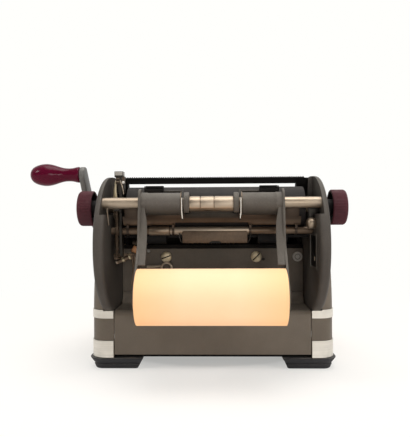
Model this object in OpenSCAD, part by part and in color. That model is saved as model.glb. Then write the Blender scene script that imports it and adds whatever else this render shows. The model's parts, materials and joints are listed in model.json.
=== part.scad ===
// Ten-key printing adding machine with a hand crank and a paper roll at the rear.
// +X is the operator's right (crank side), +Y the rear, +Z up. The feet stand on Z = 0.

/* [Case] */
// Outer width over the side shells
case_w = 210; // [206:1:216]
// Rear face of the case
rear_y = 130; // [129:0.5:131]
// Front face of the case
front_y = -132; // [-136:1:-130]
// Top of the hump over the type
hump_z = 158; // [157:0.5:159]
// Rounding of the side shells, from the side face to the outline
shell_round = 13; // [11:0.5:14]
// Wall of the sheet covers
sheet = 2.5; // [2:0.1:3]
// Height of the rubber feet
foot_h = 10; // [9.5:0.5:10.5]
// Half width of the covers between the side shells
cover_x = 84.6; // [84.4:0.1:84.8]
// Tilt of the keyboard deck
deck_tilt = 23.77; // [23.5:0.01:24]

/* [Cheeks] */
// Radius of the round cheeks
cheek_r = 59.5; // [59:0.1:59.7]
// Thickness of a cheek
cheek_t = 8.8; // [8.2:0.1:8.8]
// Outer face of a cheek
cheek_x = 93.8; // [93.8:0.1:94.4]

/* [Paper] */
// Width of the paper roll
roll_w = 113; // [108:0.5:113.5]
// Radius of the paper roll
roll_r = 21.5; // [12:0.5:24]
// Radius of the rod that carries the roll arms
rod_r = 4; // [3.8:0.1:4.2]
// Radius of the sleeves on that rod
sleeve_r = 8.9; // [7:0.1:9]

/* [Platen] */
// Radius of the platen
platen_r = 18.2; // [17.8:0.1:18.3]
// Left end of the platen
platen_left = -79; // [-79:0.5:-72]
// Right end of the platen
platen_right = 72.5; // [70:0.5:73]
// Radius of the platen shaft
shaft_r = 4; // [3.8:0.1:4]
// Radius of the platen knobs
knob_r = 15.3; // [13.5:0.1:15.5]

/* [Crank] */
// Distance from the crank shaft to the grip
crank_len = 85; // [80:0.5:86]
// Direction of the crank arm at rest, above the horizontal
crank_rest = 50; // [48:1:52]
// Length of the grip
grip_len = 44.5; // [42:0.5:55]

/* [Keys] */
// Distance between keys
key_pitch = 19; // [18.5:0.1:20]
// Side of a key cap
key_side = 14.5; // [13:0.1:15]

/* [Hidden] */
$fn = 48;
running = 0.06;

foot_x = 82;
foot_y = 100;
bolt_r = 2.6;

cheek_c = [112, 107.6];
rod_c = [150.4, 143.3];
platen_c = [123, 139.3];
feed_c = [136, 119.8];
press_c = [116, 114.9];
press_r = 7;
roll_c = [182, 70.5];
crank_c = [55, 105];
sector_c = [50, 62];
shelf_z = 51;
back_y = 88.5;
seam_z = 61;
cheek_in = cheek_x - cheek_t;
feed_r = 3.1;

bail_r = 3.4;
bail_angle = 38;
bail_reach = platen_r + bail_r + 0.3;
bail_c = platen_c + bail_reach * [cos(bail_angle), sin(bail_angle)];

// The deck frame: its middle on the deck's upper face, 4 mm under the shells' border.
border = 4;
deck_mid_y = -64;
deck_line_z = 116 - (2 - deck_mid_y) * tan(deck_tilt);
deck_mid_z = deck_line_z - border / cos(deck_tilt);
deck_half = 62;

gear_module = 1.5;
rack_teeth = 44;
pinion_teeth = 12;
rack_r = gear_module * rack_teeth / 2;
pinion_r = gear_module * pinion_teeth / 2;
register_angle = 120;
head_r = [76, 86];
head_from = 68.5;
type_step = 2.2;
register_c = sector_c + (rack_r + pinion_r) * [cos(register_angle), sin(register_angle)];
columns = 10;
column_pitch = 5;

digit_u = 6;
digit_rows = [[-38, [0]], [-17, [1, 2, 3]], [3, [4, 5, 6]], [23, [7, 8, 9]]];

DIGIT_KEYS = ["key_0", "key_1", "key_2", "key_3", "key_4", "key_5", "key_6", "key_7", "key_8", "key_9"];
FUNCTION_KEYS = ["key_total", "key_subtotal", "key_subtract", "key_repeat"];

// Colours
olive = [0.36, 0.33, 0.29];
grey = [0.34, 0.33, 0.31];
bright = [0.74, 0.72, 0.68];
steel = [0.62, 0.56, 0.49];
black = [0.08, 0.08, 0.09];
maroon = [0.36, 0.06, 0.14];
cream = [0.98, 0.86, 0.66];

// Plane outlines
function unit(v) = v / norm(v);
function reverse(list) = [for (i = [len(list) - 1 : -1 : 0]) list[i]];
function turn(a) = a > 180 ? a - 360 : a < -180 ? a + 360 : a;

// The arc of radius r that rounds the corner p between its neighbours a and b.
function corner(a, p, b, r) =
    let (u = unit(a - p), v = unit(b - p), half = acos(u * v) / 2)
    let (reach = r / tan(half), c = p + unit(u + v) * r / sin(half))
    let (s = p + u * reach - c, e = p + v * reach - c)
    let (start = atan2(s[1], s[0]), sweep = turn(atan2(e[1], e[0]) - start))
    let (n = max(1, ceil(abs(sweep) / 8)))
    [for (i = [0 : n]) c + r * [cos(start + sweep * i / n), sin(start + sweep * i / n)]];

// An open path through corners, where corner i is rounded by radii[i].
function rounded(points, radii) = concat(
    [points[0]],
    [for (i = [1 : len(points) - 2]) each corner(points[i - 1], points[i], points[i + 1], radii[i - 1])],
    [points[len(points) - 1]]);

function heading(path, i) = unit(path[min(i + 1, len(path) - 1)] - path[max(i - 1, 0)]);

// The path moved by d to its left-hand side, which is the inner side of a path that runs anticlockwise.
function inset(path, d) = [for (i = [0 : len(path) - 1]) let (h = heading(path, i)) path[i] - d * [h[1], -h[0]]];

// Side outline of the case from the rear foot of the wall, over the hump, to the front.
function outline(bottom) = rounded(
    [[rear_y, bottom], [rear_y, 75], [98, hump_z], [38, hump_z], [2, 116],
        [front_y, 116 - (2 - front_y) * tan(deck_tilt)], [front_y, bottom]],
    [150, 50, 45, 60, 16]);

// Solids from outlines
// A YZ outline extruded along X.
module slab_x(x0, x1) translate([x0, 0, 0]) rotate([90, 0, 90]) linear_extrude(x1 - x0) children();

module rod_x(x0, x1, c, r) translate([x0, c[0], c[1]]) rotate([0, 90, 0]) cylinder(h = x1 - x0, r = r);

// A body of revolution about the X axis through c: the outline gives [radius, x].
module turned_x(c, outline) translate([0, c[0], c[1]]) rotate([0, 90, 0]) rotate_extrude() polygon(outline);

// Sheet of thickness t on the inner side of an open path.
module strip_x(path, t, x0, x1) slab_x(x0, x1) polygon(concat(path, reverse(inset(path, t))));

// Flat bar between two round ends.
module bar(p, q, rp, rq) {
    n = unit([q[1] - p[1], p[0] - q[0]]);
    translate(p) circle(rp);
    translate(q) circle(rq);
    polygon([p + n * rp, q + n * rq, q - n * rq, p - n * rp]);
}

// A skin over rings that all have the same number of points, closed at both ends.
module loft(rings) {
    n = len(rings[0]);
    m = len(rings);
    polyhedron(
        points = [for (r = rings) each r],
        faces = concat(
            [[for (i = [n - 1 : -1 : 0]) i]],
            [[for (i = [0 : n - 1]) (m - 1) * n + i]],
            [for (k = [0 : m - 2], i = [0 : n - 1]) [k * n + i, k * n + (i + 1) % n, (k + 1) * n + i]],
            [for (k = [0 : m - 2], i = [0 : n - 1])
                [k * n + (i + 1) % n, (k + 1) * n + (i + 1) % n, (k + 1) * n + i]]),
        convexity = 6);
}

// Round disc with rounded edges, its axis along X.
module disc_x(c, x0, x1, r, edge) {
    arc = [for (a = [0 : 15 : 90]) [sin(a), cos(a)]];
    turned_x(c, concat(
        [[0, x0], [r - edge, x0]],
        [for (p = arc) [r - edge + edge * p[0], x0 + edge - edge * p[1]]],
        [for (p = reverse(arc)) [r - edge + edge * p[0], x1 - edge + edge * p[1]]],
        [[0, x1]]));
}

// Places a child at u across and v up the slope of the keyboard deck.
module on_deck(u, v) translate([u, deck_mid_y, deck_mid_z]) rotate([deck_tilt, 0, 0]) translate([0, v, 0]) children();

module rounded_square(size, r) {
    w = size[0] / 2 - r;
    h = size[1] / 2 - r;
    square([2 * w, size[1]], center = true);
    square([size[0], 2 * h], center = true);
    for (x = [-w, w], y = [-h, h]) translate([x, y]) circle(r);
}

// Case
module base_pan() color(black) difference() {
    union() {
        translate([-97, front_y + 5, foot_h]) cube([194, rear_y - front_y - 10, 2.5]);
        for (x = [-foot_x, foot_x], y = [-foot_y, foot_y])
            translate([x, y, foot_h]) cylinder(h = 8, r = 7);
    }
    for (x = [-foot_x, foot_x], y = [-foot_y, foot_y])
        translate([x, y, foot_h - 1]) cylinder(h = 12, r = bolt_r);
}

// Plan of the foot under the rear right corner, d inside its upper edge.
module foot_plan(d) {
    r = 12 - d;
    translate([58 + d, 62 + d]) square([49.5 - 2 * d - r, 69.5 - 2 * d]);
    translate([58 + d, 62 + d]) square([49.5 - 2 * d, 69.5 - 2 * d - r]);
    translate([107.5 - d - r, 131.5 - d - r]) circle(r);
}

module foot() difference() {
    hull() {
        translate([0, 0, foot_h - 2.5]) linear_extrude(2.5) foot_plan(0);
        translate([0, 0, 1.5]) linear_extrude(1) foot_plan(3.4);
        linear_extrude(1) foot_plan(5);
    }
    translate([foot_x, foot_y, -1]) cylinder(h = foot_h + 2, r = bolt_r);
}

module feet() color(black) for (x = [0, 1], y = [0, 1]) mirror([x, 0, 0]) mirror([0, y, 0]) foot();

// Hollow cover with a rounded border; its cavity narrows in steps: [x beyond the border's start, inset].
shell_x = case_w / 2 - shell_round;
cavity_steps = [[0, sheet], [5.5, 4.4], [9, 7.6]];

module side_shell() difference() {
    loft([for (s = concat([for (a = [90 : -18 : 18]) [shell_x + shell_round * sin(a), shell_round * (1 - cos(a))]],
            [[shell_x, 0], [cover_x + 0.4, 0]]))
        [for (p = inset(outline(foot_h), s[1])) [s[0], p[0], p[1]]]]);
    for (s = cavity_steps) slab_x(cover_x - 2, shell_x + s[0]) polygon(inset(outline(foot_h - 6), s[1]));
    slab_x(70, cheek_x + 0.3) translate(cheek_c)
        polygon([for (a = [0 : 5 : 355]) (cheek_r + 0.35) * [cos(a), sin(a)]]);
}

module side_shell_right() color(olive) difference() {
    side_shell();
    rod_x(90, 120, crank_c, 6.5);
}

module side_shell_left() color(olive) mirror([1, 0, 0]) side_shell();

// Bright bands round the rear corner and along the side.
module trim_band(z, h) translate([0, 0, z]) linear_extrude(h) {
    c = [case_w / 2 - shell_round, rear_y - shell_round];
    translate(c) intersection() {
        difference() {
            circle(shell_round + 0.7);
            circle(shell_round + 0.1);
        }
        square(20);
    }
    translate([cover_x + 0.8, rear_y + 0.1]) square([c[0] - cover_x - 0.8, 0.6]);
    translate([case_w / 2 + 0.1, front_y + 20]) square([0.6, c[1] - front_y - 20]);
}

module trim_bands() color(bright) for (x = [0, 1]) mirror([x, 0, 0]) {
    trim_band(foot_h + 0.4, 14.4);
    difference() {
        trim_band(44.2, 7.2);
        rod_x(cheek_in - 1, cheek_x + 0.3, cheek_c, cheek_r + 0.3);
    }
}

// A round cheek with its front cut off: platen bearing and sockets for the two fixed rods.
// Inside the upper rear of each cheek a pocket takes the end of the paper rod.
pocket_x = cheek_x - 4.5;
rod_end = pocket_x + 2.2;

module cheek() difference() {
    disc_x(cheek_c, cheek_in, cheek_x, cheek_r, 3);
    translate([cheek_in - 1, 116.5, 133.5]) cube([pocket_x - cheek_in + 1, 60, 40]);
    translate([cheek_in - 1, 40, 40]) cube([20, 34, 140]);
    rod_x(cheek_in - 1, cheek_x + 1, platen_c, shaft_r + running);
    rod_x(cheek_in - 1, rod_end + 0.3, rod_c, rod_r + 0.02);
    rod_x(cheek_in - 1, cheek_in + 3, feed_c, feed_r + 0.02);
    rod_x(cheek_in - 1, cheek_in + 3, press_c, 2 + running);
}

module cheek_right() color(grey) cheek();

module cheek_left() color(grey) mirror([1, 0, 0]) cheek();

// Lower rear wall, shelf and upturned lip in one bent sheet.
module rear_panel() color(olive) strip_x(
    rounded([[rear_y, foot_h + 3], [rear_y, shelf_z], [back_y, shelf_z], [back_y, seam_z]], [5, 8]),
    sheet, -cover_x, cover_x);

screw_z = 94;
screw_x = [43.4, -41];
screw_r = 5.1;
plug_x = -78.5;

module back_plate() color(olive) difference() {
    translate([-cover_x, back_y - sheet, seam_z + 0.4]) cube([2 * cover_x, sheet, 42]);
    for (x = concat(screw_x, plug_x))
        translate([x, back_y + 1, screw_z]) rotate([90, 0, 0]) cylinder(h = 5, r = 2.1);
}

// Slotted screw whose head stands on the plate at y.
module slotted_screw(r, slot_angle) difference() {
    union() {
        cylinder(h = 2.6, r = r);
        translate([0, 0, -7]) cylinder(h = 7, r = 2);
    }
    rotate([0, 0, slot_angle]) translate([-r - 1, -0.5, 1.4]) cube([2 * r + 2, 1, 3]);
}

module back_plate_screws() color(steel) {
    for (s = [[screw_x[0], -12], [screw_x[1], -42]])
        translate([s[0], back_y, screw_z]) rotate([-90, 0, 0]) slotted_screw(screw_r, s[1]);
    translate([plug_x, back_y, screw_z]) rotate([-90, 0, 0]) {
        cylinder(h = 1.6, r = 4.5);
        translate([0, 0, -4]) cylinder(h = 4, r = 2);
    }
}

hinge_c = [62, hump_z - 1.5];
hinge_r = 1.2;
hinge_x = [-55, 55];

// Knuckles of the cover's hinge: those of the hood carry the pin.
module knuckle(x0, x1, bore) difference() {
    rod_x(x0, x1, hinge_c, hinge_r + 1.2);
    rod_x(x0 - 1, x1 + 1, hinge_c, bore);
}

module hood_front() color(olive) {
    difference() {
        strip_x(rounded([[61.7, hump_z - 1], [38.4, hump_z - 1], [3.4, deck_height(3.4)], [-7, deck_height(-7)]],
            [44, 20]), sheet, -cover_x, cover_x);
        for (x = hinge_x) rod_x(x - 17, x + 17, hinge_c, hinge_r + 1.7);
    }
    for (x = hinge_x) {
        for (s = [-1, 1]) {
            knuckle(x + s * 11 - 5, x + s * 11 + 5, hinge_r);
            translate([x + s * 11 - 5, 58, hump_z - 1 - sheet]) cube([10, 2.6, sheet]);
        }
        rod_x(x - 16, x + 16, hinge_c, hinge_r);
    }
}

// Height of the deck's upper face above a point of the machine's Y axis.
function deck_height(y) = deck_mid_z + (y - deck_mid_y) * tan(deck_tilt);

module ribbon_cover() color(olive) {
    difference() {
        strip_x(rounded([[101, 149], [99.5, hump_z - 1], [62.3, hump_z - 1]], [6]), sheet, -cover_x, cover_x);
        for (x = hinge_x) rod_x(x - 17, x + 17, hinge_c, hinge_r + 1.7);
    }
    for (x = hinge_x) {
        knuckle(x - 5.8, x + 5.8, hinge_r + running);
        translate([x - 5.8, 63.5, hump_z - 1 - sheet]) cube([11.6, 2.4, sheet]);
    }
}

module keyboard_deck() color(olive) difference() {
    on_deck(0, 0) translate([-cover_x, -deck_half, -sheet]) cube([2 * cover_x, 2 * deck_half, sheet]);
    for (place = key_places) key_hole(place, 4);
}

module key_hole(place, r) on_deck(place[0], place[1]) translate([0, 0, -40]) cylinder(h = 50, r = r);

// Plate under the deck that guides the key stems.
guide_depth = 22;

module stem_guide() color(steel) difference() {
    on_deck(0, 0) translate([-frame_x, -52, -guide_depth - 2]) cube([2 * frame_x, 90, 2]);
    for (place = key_places) key_hole(place, stem_r + running);
}

// A compression spring round each key stem, between the deck's underside and the guide plate.
module key_springs() color(bright) for (place = key_places) on_deck(place[0], place[1])
    translate([0, 0, -guide_depth]) coil(3.1, 0.35, 5, guide_depth - 6.2);

// Coil about Z from its foot: mean radius, wire radius, turns and height.
module coil(r, wire, turns, height) {
    steps = turns * 8;
    loft([for (i = [0 : steps])
        let (a = 45 * i, z = wire + (height - 2 * wire) * i / steps)
        [for (b = [0 : 72 : 288])
            [(r + wire * cos(b)) * cos(a), (r + wire * cos(b)) * sin(a), z + wire * sin(b)]]]);
}

module front_panel() color(olive) strip_x(
    rounded([[-deck_half * cos(deck_tilt) + deck_mid_y - 0.6, deck_height(-deck_half * cos(deck_tilt) + deck_mid_y - 0.6)],
        [front_y, deck_height(front_y)], [front_y, foot_h + 3]], [12]),
    sheet, -cover_x, cover_x);

// Frame
frame_x = 80;

module side_frame() slab_x(frame_x, frame_x + 2.5) difference() {
    polygon(rounded([[84, 12.5], [84, 118], [62, 140], [24, 120], [-60, 66], [-92, 50], [-92, 12.5]],
        [12, 14, 20, 20, 8]));
    translate(crank_c) circle(5 + running);
    translate(sector_c) circle(3 + running);
    translate(register_c) circle(2.5 + running);
    for (p = tie_places) translate(p) circle(3.02);
}

tie_places = [[70, 30], [-38, 45], [-78, 38], [20, 112]];

module side_frames() color(steel) {
    side_frame();
    mirror([1, 0, 0]) side_frame();
}

module tie_rods() color(steel) for (p = tie_places) rod_x(-frame_x - 4, frame_x + 4, p, 3);

// Paper roll and its carrier
module paper_rod() color(steel) rod_x(-rod_end, rod_end, rod_c, rod_r);

module ring_x(x0, x1, c, r, bore) difference() {
    rod_x(x0, x1, c, r);
    rod_x(x0 - 1, x1 + 1, c, bore);
}

// A spacer under three polished tabs, between two dull collars, and the sleeve on the feed shaft.
module rod_collars() color(steel) {
    ring_x(-18, 18, rod_c, rod_r + 0.9, rod_r + 0.02);
    intersection() {
        for (s = [[9.3, 18], [-1.9, 8.5], [-18, -2.7]]) ring_x(s[0], s[1], rod_c, rod_r + 1.6, rod_r + 0.5);
        translate([-20, rod_c[0] - 10, rod_c[1] - 1.5]) cube([40, 20, 20]);
    }
    for (s = [-1, 1]) ring_x(s * 20.4 - 2.3, s * 20.4 + 2.3, rod_c, sleeve_r, rod_r + 0.02);
    ring_x(35, 48.6, feed_c, feed_r + 0.8, feed_r + 0.02);
}

arm_x = roll_w / 2 + 0.7;
knee_c = [159, 108];

flange = rounded([knee_c + [17.2, -13.8], knee_c + [5.7, 2.2], rod_c + [8.2, 0]], [24]);

// Sleeve on the rod, web beside the roll with a flange at its rear, and the stub axle in the roll's core.
module roll_arm() difference() {
    union() {
        rod_x(25, arm_x + 0.5, rod_c, sleeve_r);
        rod_x(arm_x - 5, arm_x + 1.8, rod_c, sleeve_r + 0.5);
        slab_x(arm_x, arm_x + 1.8) {
            bar(rod_c + [2, 3.6], knee_c, 7.6, 7);
            bar(knee_c, roll_c, 7, 10);
        }
        strip_x(flange, 1.6, arm_x - 5, arm_x + 1);
        rod_x(arm_x - 8, arm_x + 0.5, roll_c, 5.9);
    }
    rod_x(20, 70, rod_c, rod_r + running);
    rod_x(20, 70, roll_c, 2.2);
}

module roll_arm_right() color(grey) roll_arm();

module roll_arm_left() color(grey) mirror([1, 0, 0]) roll_arm();

module paper_core() color([0.6, 0.45, 0.3]) ring_x(-roll_w / 2, roll_w / 2, roll_c, 8, 5.96);

module paper_roll() color(cream) ring_x(-roll_w / 2, roll_w / 2, roll_c, roll_r, 8.02);

// Platen
module platen() color(black) ring_x(platen_left, platen_right, platen_c, platen_r, shaft_r + 0.02);

knob_in = case_w / 2 - 2.4;
knob_out = knob_in + 12.8;

module platen_shaft() color(steel) rod_x(-knob_out + 2.5, knob_out - 2.5, platen_c, shaft_r);

// Knob with a hub towards the cheek and a hollow around it.
module knob() difference() {
    disc_x(platen_c, knob_in, knob_out, knob_r, 2.6);
    ring_x(knob_in - 1, knob_in + 8, platen_c, knob_r - 2.2, 7);
    rod_x(knob_in - 1, knob_out - 2.4, platen_c, shaft_r + 0.02);
}

module platen_knobs() color(maroon) for (s = [0, 1]) mirror([s, 0, 0]) {
    knob();
    ring_x(cheek_x + 0.6, knob_in + 0.5, platen_c, 6.4, shaft_r + 0.02);
}

ratchet_teeth = 24;

module ratchet_wheel() color(steel) slab_x(cheek_in - 2.7, cheek_in - 0.4) translate(platen_c) difference() {
    polygon([for (i = [0 : ratchet_teeth - 1], s = [0, 1])
        let (a = 360 * (i + (s == 0 ? 0 : 0.85)) / ratchet_teeth, r = s == 0 ? 8.6 : 10)
        r * [cos(a), sin(a)]]);
    circle(shaft_r + 0.02);
}

tear_z = [161, 167.4];
tear_pitch = 2;
tear_half = 82;

// Serrated bar over the platen with a leg down to each cheek.
module tear_bar() color(black) {
    teeth = 2 * tear_half / tear_pitch;
    translate([0, 113.6, 0]) rotate([90, 0, 0]) linear_extrude(1.6) polygon(concat(
        [[tear_half, tear_z[0]], [-tear_half, tear_z[0]]],
        [for (i = [0 : teeth - 1], s = [0, 1])
            [-tear_half + tear_pitch * (i + s / 2), tear_z[1] - (s == 0 ? 1 : 0)]],
        [[tear_half, tear_z[1] - 1]]));
    for (s = [0, 1]) mirror([s, 0, 0]) slab_x(tear_half - 7, cheek_in) polygon(
        [[103, 150], [106, 149], [113.6, 158], [114.5, tear_z[1] - 1.5], [110, tear_z[1] - 1.5], [105, 160]]);
}

function pan_arc(low) = [for (a = [low : 4 : -22]) platen_c + 20.4 * [cos(a), sin(a)]];

// Curved paper guide under the rear of the platen, on four legs clamped to the feed shaft.
module paper_pans() color(steel) difference() {
    union() {
        strip_x(pan_arc(-38), 1, -32, 32);
        for (s = [0, 1]) mirror([s, 0, 0]) {
            strip_x(pan_arc(-46), 1, 31, 74.9);
            for (x = [31.5, 70]) slab_x(x, x + 2) bar(feed_c, feed_c + [2.2, 4.4], feed_r + 0.8, 1.2);
        }
    }
    rod_x(-80, 80, feed_c, feed_r + 0.02);
}

module feed_shaft() color(steel) rod_x(-cheek_in - 2.5, cheek_in + 2.5, feed_c, feed_r);

// Channel of sheet steel under the middle of the feed shaft, which lies in a groove along its top.
module feed_bracket() color(steel) difference() {
    slab_x(-28, 28) translate([feed_c[0] + 0.5, feed_c[1] - 5.2]) rounded_square([10, 10.4], 2);
    rod_x(-30, 30, feed_c, feed_r + 0.02);
    translate([-26, 120, 108]) cube([52, 17, 5.5]);
}

// Rubber rollers that press the paper against the underside of the platen, on one shaft.
module pressure_rollers() color(black) {
    rod_x(-cheek_in - 2.5, cheek_in + 2.5, press_c, 2);
    for (s = [-1, 1]) ring_x(s * 53 - 13, s * 53 + 13, press_c, press_r - 0.1, 1.98);
}

// Plates on the cross rod: a tail that hangs down and an arm that holds a bail roller's axle.
module bail_fingers() color(steel) for (s = [0, 1]) mirror([s, 0, 0]) {
    difference() {
        slab_x(23.2, 24.4) {
            bar(rod_c, [146.5, 130.6], 6, 1.6);
            bar(rod_c, bail_c, 5, 2.2);
        }
        rod_x(20, 30, rod_c, rod_r + 0.02);
        rod_x(20, 30, bail_c, 1.2 + running);
    }
    rod_x(23.2, 56, bail_c, 1.2);
}

module bail_rollers() color(black) for (s = [0, 1]) mirror([s, 0, 0])
    ring_x(40, 55.4, bail_c, bail_r, 1.2 + running);

// Paper release on the operator's right
lever_x = 75.5;
spring_top = [141.4, 137.2];

module release_lever() color(steel) difference() {
    union() {
        slab_x(lever_x, lever_x + 2) {
            bar([136.5, 101], [136.5, 122], 3, 6);
            bar([136.5, 122], [136.5, 166], 5, 4);
            bar([136.5, 137.2], spring_top, 3, 2.4);
        }
        translate([lever_x - 0.9, 132.2, 165.4]) cube([7, 8.6, 4.8]);
        translate([lever_x, 134, 164]) cube([2, 5, 5]);
        rod_x(lever_x + 1, lever_x + 6.4, spring_top, 0.9);
    }
    rod_x(lever_x - 5, lever_x + 10, feed_c, feed_r + running);
}

spring_turns = 22;
spring_r = 1.4;
wire_r = 0.32;

// A tension spring between the lever's peg and the anchor's.
module lever_spring() color(steel) {
    translate([lever_x + 4.4, spring_top[0], 98.1]) coil(spring_r, wire_r, spring_turns, 37.8);
}

// Bracket on the right cheek: the spring's lower end, and the bent strip that steadies the roll.
module spring_anchor() color(steel) {
    translate([66.4, 125.5, 95]) cube([cheek_in - 66.5, 3, 5]);
    translate([lever_x + 3.4, 128, 96.2]) cube([2, 15, 1.6]);
    translate([66.4, 0, 0]) slab_x(0, 1) polygon(
        [[125.5, 100], [129, 100], [134, 90], [144, 76], [142.5, 74], [131, 88], [125.5, 96]]);
}

// Grooved stud on the inner face of the left cheek.
module guide_stud() color(steel) translate([-cheek_in, 0, 0]) turned_x([150, 127.6],
    [[0, 0], [3.9, 0], [3.9, 3], [4.2, 3.4], [4.2, 5], [3.8, 5.4], [3.8, 6], [4.2, 6.4], [4.2, 8.2], [3.4, 9], [0, 9]]);

// Crank
grip_c = crank_c + crank_len * [cos(crank_rest), sin(crank_rest)];
arm_in = 113.6;
arm_out = 118.6;

module crank_arm() color(grey) difference() {
    union() {
        slab_x(arm_in, arm_out) bar(crank_c, grip_c, 10, 7);
        rod_x(case_w / 2 + 1.5, arm_in + 1, crank_c, 9);
        rod_x(arm_out - 1, arm_out + grip_len - 4, grip_c, 2.5);
    }
    rod_x(100, arm_out - 2, crank_c, 5.02);
}

// Pear-shaped grip: [share of its length, radius].
grip_shape = [[0, 7.1], [0.06, 6.8], [0.13, 6.1], [0.2, 5.85], [0.28, 6], [0.38, 6.9], [0.48, 8.3], [0.57, 9.5],
    [0.65, 10], [0.73, 9.9], [0.81, 9.2], [0.88, 8.1], [0.94, 6.5], [0.98, 4.6], [1, 2.4]];

module crank_grip() color(maroon) difference() {
    turned_x(grip_c, concat([[0, arm_out + 0.4]], [for (g = grip_shape) [g[1], arm_out + 0.4 + grip_len * g[0]]],
        [[0, arm_out + 0.4 + grip_len]]));
    rod_x(arm_out - 1, arm_out + grip_len - 3.4, grip_c, 2.5 + running);
}

// Short shaft in the right side frame, with the arm that drives the mechanism.
module crank_shaft() color(steel) {
    rod_x(64, arm_out - 2, crank_c, 5);
    slab_x(66, 70) bar(crank_c, crank_c + [-6, -24], 9, 5);
}

module crank_bush() color(steel) ring_x(frame_x + 2.6, shell_x + 8.9, crank_c, 8, 5 + running);

// Straight-sided teeth on the arc of pitch radius r between two angles.
function teeth(r, first, count, pitch_angle) =
    let (half = 0.21 * pitch_angle, tip = 0.11 * pitch_angle, root = 0.29 * pitch_angle)
    [for (i = [0 : count - 1])
        let (a = first + i * pitch_angle)
        each [
            (r - 1.15 * gear_module) * [cos(a - root), sin(a - root)],
            r * [cos(a - half), sin(a - half)],
            (r + 0.85 * gear_module) * [cos(a - tip), sin(a - tip)],
            (r + 0.85 * gear_module) * [cos(a + tip), sin(a + tip)],
            r * [cos(a + half), sin(a + half)],
            (r - 1.15 * gear_module) * [cos(a + root), sin(a + root)]]];

rack_pitch = 360 / rack_teeth;
head_to = head_from + 10 * type_step;

// One type sector about its own centre: type head, web, hub and toothed arc.
module sector_outline() {
    polygon(concat(
        [for (a = [head_from : type_step : head_to]) head_r[1] * [cos(a), sin(a)]],
        [for (a = [head_to : -type_step : head_from]) head_r[0] * [cos(a), sin(a)]]));
    rotate((head_from + head_to) / 2) polygon([[5, -5], [head_r[0] + 2, -7], [head_r[0] + 2, 7], [5, 5]]);
    circle(9);
    polygon(concat([[0, 0]], teeth(rack_r, register_angle - rack_pitch, 6, rack_pitch)));
}

function column_x(i) = (i - (columns - 1) / 2) * column_pitch;

module type_sectors() color(steel) {
    difference() {
        for (i = [0 : columns - 1]) slab_x(column_x(i) - 0.9, column_x(i) + 0.9)
            translate(sector_c) sector_outline();
        rod_x(-40, 40, sector_c, 2.98);
    }
    rod_x(-frame_x - 4, frame_x + 4, sector_c, 3);
}

module register_wheels() color(steel) {
    pitch = 360 / pinion_teeth;
    first = register_angle + 180 + pitch / 2;
    difference() {
        for (i = [0 : columns - 1]) slab_x(column_x(i) - 1.3, column_x(i) + 1.3)
            translate(register_c) polygon(teeth(pinion_r, first, pinion_teeth, pitch));
        rod_x(-40, 40, register_c, 2.48);
    }
    rod_x(-frame_x - 4, frame_x + 4, register_c, 2.5);
}

// Box of stop pins that steps sideways as digits are entered.
module pin_carriage() color(steel) difference() {
    union() {
        translate([-25, -60, 40]) cube([50, 44, 10]);
        for (x = [-20 : 5 : 20], y = [-55 : 8 : -23]) translate([x, y, 49]) cylinder(h = 4, r = 0.9, $fn = 16);
    }
    rod_x(-40, 40, [-38, 45], 3.1);
}

// Keys
stem_r = 2.2;

function digit_place(k) = k == 0 ? [digit_u, digit_rows[0][0]]
    : [digit_u + ((k - 1) % 3 - 1) * key_pitch, digit_rows[1 + floor((k - 1) / 3)][0]];

// Across and up the deck, in the order of their names.
function_places = [[58, 23], [58, 3], [58, -17], [-46, 3]];
key_places = concat([for (k = [0 : 9]) digit_place(k)], function_places);

// Cap over a round stem; a wide cap spans w.
module key(place, w) on_deck(place[0], place[1]) {
    translate([0, 0, 7.5]) hull() {
        linear_extrude(1) rounded_square([w, key_side], 3, $fn = 24);
        translate([0, 0, 5.2]) linear_extrude(1) rounded_square([w - 3, key_side - 3], 2.4, $fn = 24);
    }
    translate([0, 0, -guide_depth - 4]) cylinder(h = guide_depth + 12, r = stem_r);
    translate([0, 0, -5.8]) cylinder(h = 1.6, r = 3.7);
}

module digit_key(k) color(maroon) key(digit_place(k), k == 0 ? 2.6 * key_side : key_side);

module function_key(k) color(black) key(function_places[k], key_side);

base_pan();
feet();
side_shell_right();
side_shell_left();
trim_bands();
cheek_right();
cheek_left();
rear_panel();
back_plate();
back_plate_screws();
hood_front();
ribbon_cover();
keyboard_deck();
stem_guide();
key_springs();
front_panel();
side_frames();
tie_rods();
paper_rod();
rod_collars();
roll_arm_right();
roll_arm_left();
paper_core();
paper_roll();
platen();
platen_shaft();
platen_knobs();
ratchet_wheel();
tear_bar();
paper_pans();
feed_shaft();
feed_bracket();
pressure_rollers();
bail_fingers();
bail_rollers();
release_lever();
lever_spring();
spring_anchor();
guide_stud();
crank_arm();
crank_grip();
crank_shaft();
crank_bush();
type_sectors();
register_wheels();
pin_carriage();
for (k = [0 : 9]) digit_key(k);
for (k = [0 : 3]) function_key(k);
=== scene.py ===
"""Looks of the printing adding machine: camera, materials, detailed pieces, light and floor."""

import json
import math

import bmesh
import bpy
from mathutils import Matrix, Vector


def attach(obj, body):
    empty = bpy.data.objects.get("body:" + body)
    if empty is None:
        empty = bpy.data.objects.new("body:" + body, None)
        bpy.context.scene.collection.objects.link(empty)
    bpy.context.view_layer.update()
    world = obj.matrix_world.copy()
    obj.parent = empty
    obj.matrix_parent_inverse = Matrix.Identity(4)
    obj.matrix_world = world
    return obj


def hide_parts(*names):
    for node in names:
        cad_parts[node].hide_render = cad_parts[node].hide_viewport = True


MM = 0.001

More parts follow.
